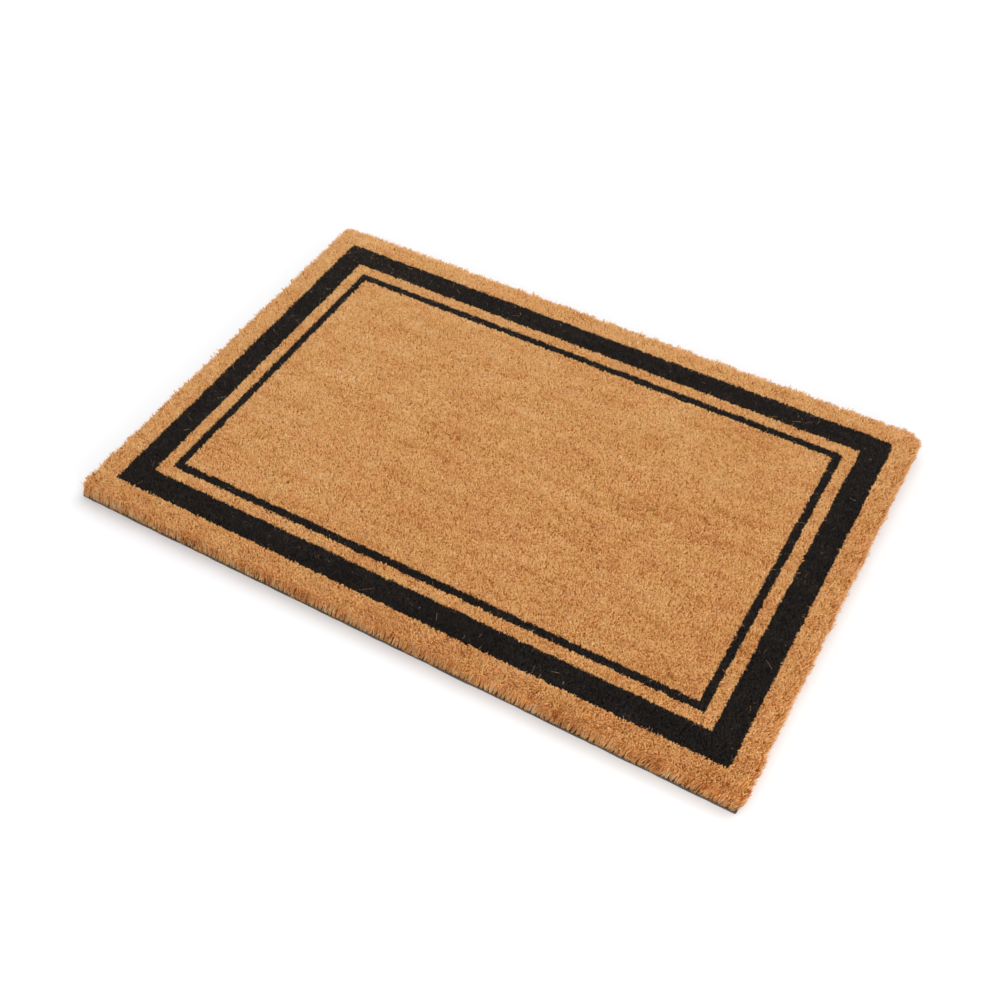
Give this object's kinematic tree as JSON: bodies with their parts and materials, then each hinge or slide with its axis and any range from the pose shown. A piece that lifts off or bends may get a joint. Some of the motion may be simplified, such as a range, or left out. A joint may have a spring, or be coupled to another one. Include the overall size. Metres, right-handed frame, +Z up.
{
  "type": "door mat",
  "caption": "Rectangular door mat of coir pile on a thin flat backing, with nested black border bands.",
  "frame": {"origin": "on the floor under the middle of the mat", "axes": "+X along the long side, +Y across the mat, +Z up out of the pile"},
  "size_m": [0.9144, 0.6096, 0.024],
  "materials": {
    "backing_vinyl": "matte dark flexible vinyl",
    "plain_coir": "undyed coir pile, cut ends up",
    "black_coir": "black dyed coir pile, cut ends up"
  },
  "bodies": {
    "root": {"backing_sheet": "backing_vinyl", "outer_margin_pile": "plain_coir", "wide_band_pile": "black_coir", "inset_strip_pile": "plain_coir", "narrow_line_pile": "black_coir", "centre_field_pile": "plain_coir"}
  },
  "joints": []
}
